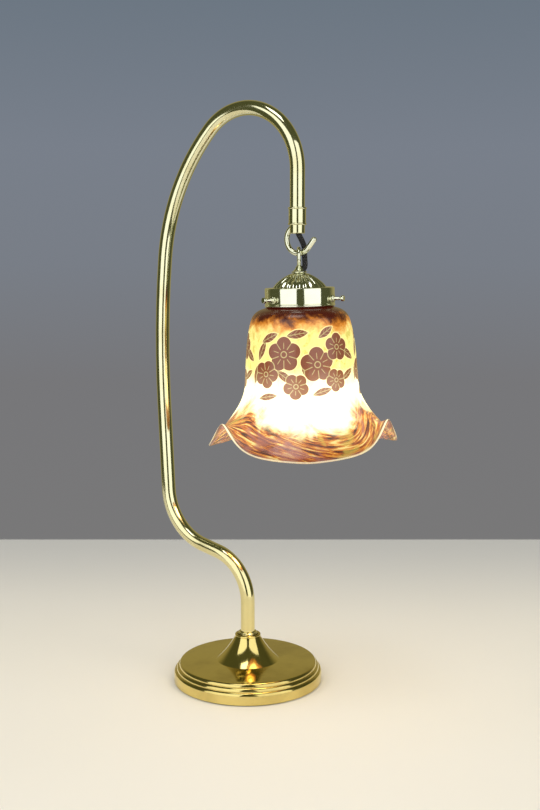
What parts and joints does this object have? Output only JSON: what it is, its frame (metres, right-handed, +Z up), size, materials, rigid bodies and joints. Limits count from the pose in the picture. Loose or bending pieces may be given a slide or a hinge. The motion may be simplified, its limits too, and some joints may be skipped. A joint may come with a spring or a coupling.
{
  "type": "table lamp",
  "caption": "Swan-neck brass table lamp: round reeded foot, bent tube stem, hook and a hung ruffled tulip glass shade on a fluted gallery.",
  "frame": {"origin": "centre of the underside of the foot, where the felt rests on the table", "axes": "+Z up; +X from the foot's centre towards the hung shade, in the plane of the bent stem; +Y across that plane"},
  "size_m": [0.2505, 0.1695, 0.5338],
  "materials": {
    "polished_brass": "polished",
    "gallery_brass": "polished",
    "iron": "as cast",
    "green_felt": "felt",
    "black_bush": "satin",
    "black_flex": "braided",
    "steel": "plain",
    "painted_glass": "enamelled on the inside, glossy",
    "porcelain": "glazed",
    "bulb_cap_metal": "plain",
    "bulb_glass": "frosted"
  },
  "bodies": {
    "stand": {"base_shell": "polished_brass", "base_weight": "iron", "base_felt": "green_felt", "cable_bush": "black_bush", "fixing_washer": "steel", "fixing_nut": "polished_brass", "neck_collar": "polished_brass", "stem_tube": "polished_brass", "stem_ferrule": "polished_brass", "hook_nipple": "polished_brass", "hook": "polished_brass", "foot_flex": "black_flex", "stem_flex": "black_flex"},
    "flex_bend": {"hook_flex_upper": "black_flex"},
    "hung_shade": {"hook_flex_lower": "black_flex", "suspension_ring": "polished_brass", "loop_cup": "polished_brass", "gallery_stud": "polished_brass", "gallery_dome": "gallery_brass", "gallery_band": "gallery_brass", "gallery_nut": "polished_brass", "glass_shade": "painted_glass", "holder_cap": "polished_brass", "holder_ring": "polished_brass", "holder_barrel": "polished_brass", "holder_insulator": "porcelain", "contact_plungers": "polished_brass", "holder_flex": "black_flex"},
    "front_screw": {"thumb_screw_front": "polished_brass"},
    "right_screw": {"thumb_screw_right": "polished_brass"},
    "rear_screw": {"thumb_screw_rear": "polished_brass"},
    "bulb": {"bulb_cap": "bulb_cap_metal", "bulb_insulator": "black_bush", "bulb_contacts": "steel", "bulb_glass": "bulb_glass", "bulb_stem": "bulb_glass", "bulb_filament": "steel"}
  },
  "joints": [
    {"name": "swing_fore_aft", "type": "hinge", "parent": "stand", "child": "flex_bend", "pos_m": [0.0562, 0, 0.39836], "axis": [1, 0, 0], "range_deg": [-15, 15], "deforming": ["hook_flex_upper"]},
    {"name": "swing_sideways", "type": "hinge", "parent": "flex_bend", "child": "hung_shade", "pos_m": [0.0562, 0, 0.40266], "axis": [-0.5592, 0.829, 0], "range_deg": [-15, 15], "deforming": ["hook_flex_lower"]},
    {"name": "front_screw_out", "type": "slide", "parent": "hung_shade", "child": "front_screw", "axis": [-0.2922, -0.9562, -0.019], "range_m": [0, 0.0035]},
    {"name": "right_screw_out", "type": "slide", "parent": "hung_shade", "child": "right_screw", "axis": [0.9741, 0.2248, 0.0228], "range_m": [0, 0.0035]},
    {"name": "rear_screw_out", "type": "slide", "parent": "hung_shade", "child": "rear_screw", "axis": [-0.682, 0.7314, -0.0038], "range_m": [0, 0.0035]},
    {"name": "bulb_turn", "type": "hinge", "parent": "hung_shade", "child": "bulb", "pos_m": [0.05897, 0.00187, 0.26562], "axis": [-0.0203, -0.0137, 0.9997], "range_deg": [0, 22]}
  ]
}
